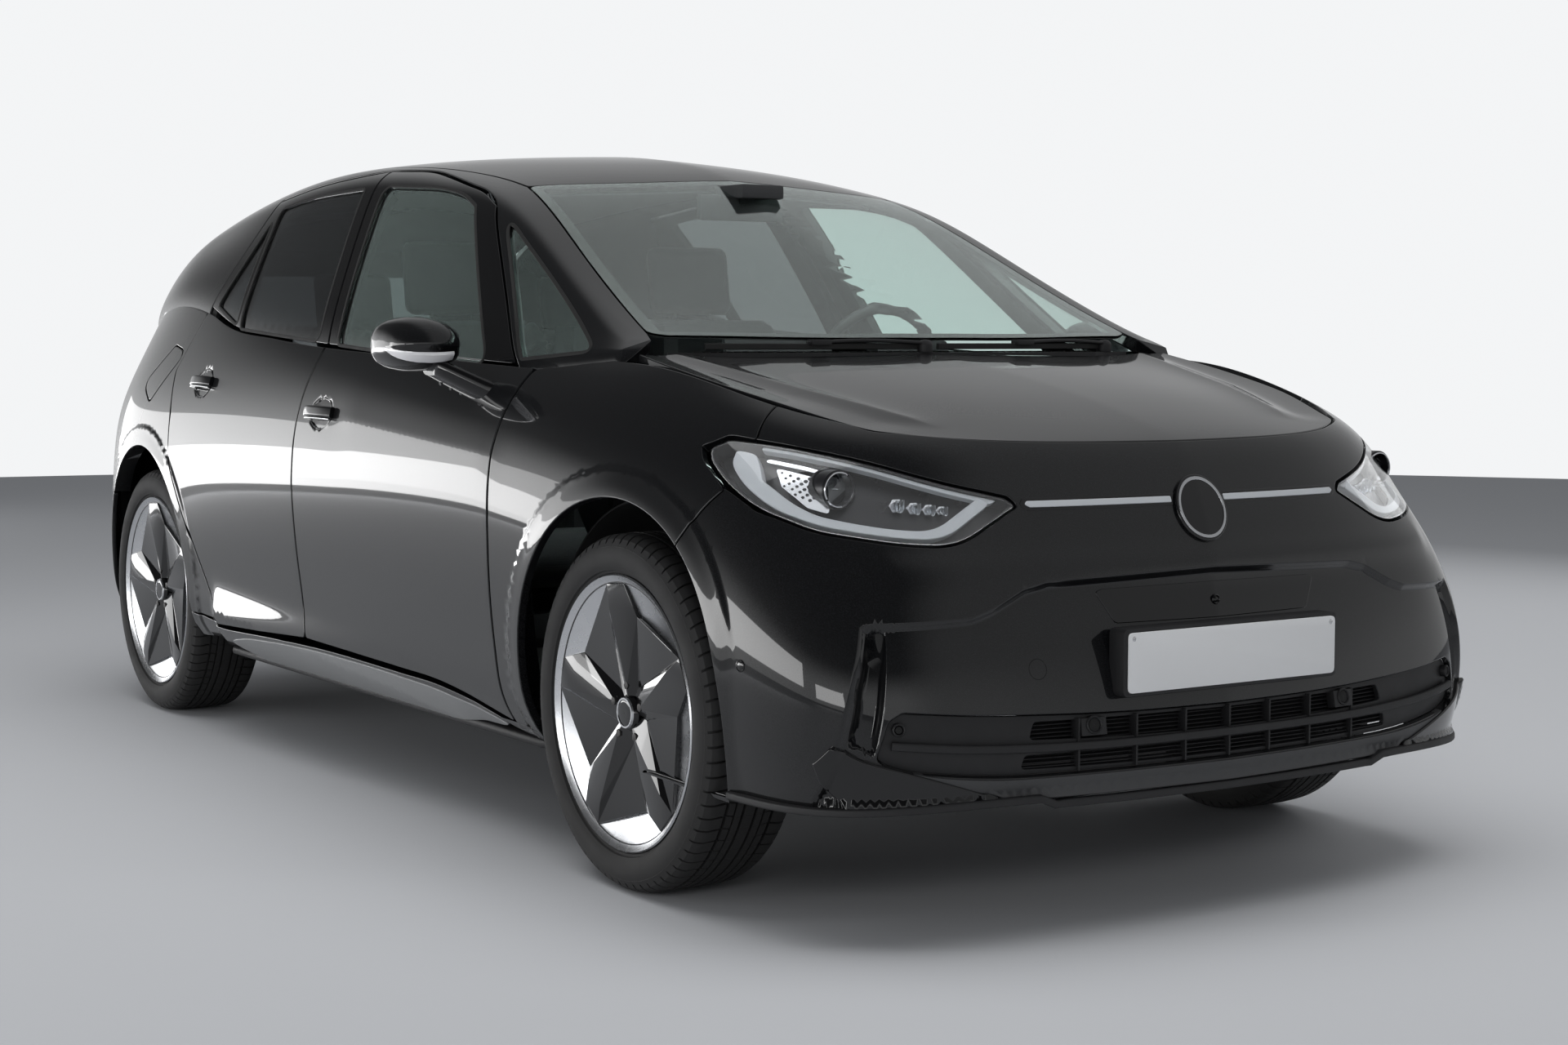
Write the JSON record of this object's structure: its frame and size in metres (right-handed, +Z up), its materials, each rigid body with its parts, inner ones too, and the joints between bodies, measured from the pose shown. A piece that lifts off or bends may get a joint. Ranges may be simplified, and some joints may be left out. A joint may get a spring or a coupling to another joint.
{
  "type": "electric hatchback",
  "caption": "Five-door electric hatchback with opening doors, bonnet, tailgate and charge flap, steered front wheels and a furnished cabin.",
  "frame": {"origin": "on the ground, at half length, on the centre plane", "axes": "+X towards the nose, +Y to the left, +Z up"},
  "size_m": [4.2648, 2.06, 1.5676],
  "materials": {
    "body_paint": "gloss metallic paint, near black",
    "roof_paint": "gloss black paint",
    "gloss_black": "gloss black",
    "trim_black": "grained matt black",
    "glass_clear": "lightly green tinted",
    "glass_dark": "dark privacy tint",
    "lamp_clear": "clear lens",
    "lamp_red": "clear red lens",
    "plate_white": "plain white",
    "tyre_rubber": "matt black rubber",
    "wheel_alloy": "gloss black with machined silver faces",
    "cast_metal": "plain cast",
    "unit_metal": "plain cast and sheet",
    "floor_metal": "satin dark coat",
    "cabin_plastic": "grained dark",
    "seat_cloth": "dark woven cloth"
  },
  "bodies": {
    "body_shell": {"body_side_right": "body_paint", "body_side_left": "body_paint", "front_fenders": "body_paint", "front_bumper": "body_paint", "rear_bumper": "body_paint", "roof_panel": "roof_paint", "light_bar": "gloss_black", "front_grille": "trim_black", "rear_diffuser": "trim_black", "side_skirts": "trim_black", "cowl_panel": "trim_black", "wipers": "trim_black", "wheel_arch_liners": "trim_black", "fixed_glass": "glass_clear", "head_lamps": "lamp_clear", "tail_lamps": "lamp_red", "number_plates": "plate_white", "front_suspension": "cast_metal", "rear_suspension": "cast_metal", "battery_pack": "unit_metal", "drive_unit": "unit_metal", "floor_pan": "floor_metal", "dashboard": "cabin_plastic", "front_seats": "seat_cloth", "rear_bench": "seat_cloth"},
    "front_right_door": {"front_door_right": "body_paint", "front_door_glass_right": "glass_clear", "mirror_right": "gloss_black"},
    "front_left_door": {"front_door_left": "body_paint", "front_door_glass_left": "glass_clear", "mirror_left": "gloss_black"},
    "rear_right_door": {"rear_door_right": "body_paint", "rear_door_glass_right": "glass_dark"},
    "rear_left_door": {"rear_door_left": "body_paint", "rear_door_glass_left": "glass_dark"},
    "bonnet_lid": {"bonnet": "body_paint"},
    "tailgate_lid": {"tailgate": "body_paint", "tailgate_glass": "glass_dark", "rear_spoiler": "gloss_black", "tailgate_lamps": "lamp_red"},
    "charge_flap_lid": {"charge_flap": "body_paint"},
    "steering_wheel_rim": {"steering_wheel": "cabin_plastic"},
    "front_right_knuckle": {"knuckle_right": "cast_metal"},
    "front_left_knuckle": {"knuckle_left": "cast_metal"},
    "front_right_wheel": {"wheel_front_right": "wheel_alloy", "tyre_front_right": "tyre_rubber"},
    "front_left_wheel": {"wheel_front_left": "wheel_alloy", "tyre_front_left": "tyre_rubber"},
    "rear_right_wheel": {"wheel_rear_right": "wheel_alloy", "tyre_rear_right": "tyre_rubber"},
    "rear_left_wheel": {"wheel_rear_left": "wheel_alloy", "tyre_rear_left": "tyre_rubber"}
  },
  "joints": [
    {"name": "steer_right", "type": "hinge", "parent": "body_shell", "child": "front_right_knuckle", "pos_m": [1.33, -0.704, 0.178], "axis": [0, 0.165, 0.9863], "range_deg": [-35, 35]},
    {"name": "steer_left", "type": "hinge", "parent": "body_shell", "child": "front_left_knuckle", "pos_m": [1.33, 0.704, 0.178], "axis": [0, -0.165, 0.9863], "range_deg": [-35, 35]},
    {"name": "steering_wheel_turn", "type": "hinge", "parent": "body_shell", "child": "steering_wheel_rim", "pos_m": [0.42, 0.37, 1], "axis": [-0.9135, 0, 0.4067], "range_deg": [-490, 490]},
    {"name": "front_right_wheel_spin", "type": "hinge", "parent": "front_right_knuckle", "child": "front_right_wheel", "pos_m": [1.33, -0.768, 0.351], "axis": [0, 1, 0], "continuous": true},
    {"name": "front_left_wheel_spin", "type": "hinge", "parent": "front_left_knuckle", "child": "front_left_wheel", "pos_m": [1.33, 0.768, 0.351], "axis": [0, 1, 0], "continuous": true},
    {"name": "rear_right_wheel_spin", "type": "hinge", "parent": "body_shell", "child": "rear_right_wheel", "pos_m": [-1.441, -0.762, 0.351], "axis": [0, 1, 0], "continuous": true},
    {"name": "rear_left_wheel_spin", "type": "hinge", "parent": "body_shell", "child": "rear_left_wheel", "pos_m": [-1.441, 0.762, 0.351], "axis": [0, 1, 0], "continuous": true},
    {"name": "front_right_door_hinge", "type": "hinge", "parent": "body_shell", "child": "front_right_door", "pos_m": [0.885, -0.909, 0.62], "axis": [0, 0, 1], "range_deg": [0, 68]},
    {"name": "front_left_door_hinge", "type": "hinge", "parent": "body_shell", "child": "front_left_door", "pos_m": [0.885, 0.909, 0.62], "axis": [0, 0, -1], "range_deg": [0, 68]},
    {"name": "rear_right_door_hinge", "type": "hinge", "parent": "body_shell", "child": "rear_right_door", "pos_m": [-0.175, -0.909, 0.7], "axis": [0, 0, 1], "range_deg": [0, 70]},
    {"name": "rear_left_door_hinge", "type": "hinge", "parent": "body_shell", "child": "rear_left_door", "pos_m": [-0.175, 0.909, 0.7], "axis": [0, 0, -1], "range_deg": [0, 70]},
    {"name": "bonnet_hinge", "type": "hinge", "parent": "body_shell", "child": "bonnet_lid", "pos_m": [1.118, 0, 1.058], "axis": [0, -1, 0], "range_deg": [0, 58]},
    {"name": "tailgate_hinge", "type": "hinge", "parent": "body_shell", "child": "tailgate_lid", "pos_m": [-1.49, 0, 1.512], "axis": [0, 1, 0], "range_deg": [0, 75]},
    {"name": "charge_flap_hinge", "type": "hinge", "parent": "body_shell", "child": "charge_flap_lid", "pos_m": [-1.33222, -0.8525, 0.96669], "axis": [0.7978, 0.1572, 0.5821], "range_deg": [0, 95]}
  ],
  "couplings": [
    {"joint": "steer_left", "follows": "steer_right", "ratio": 1},
    {"joint": "steering_wheel_turn", "follows": "steer_right", "ratio": 13.6}
  ]
}
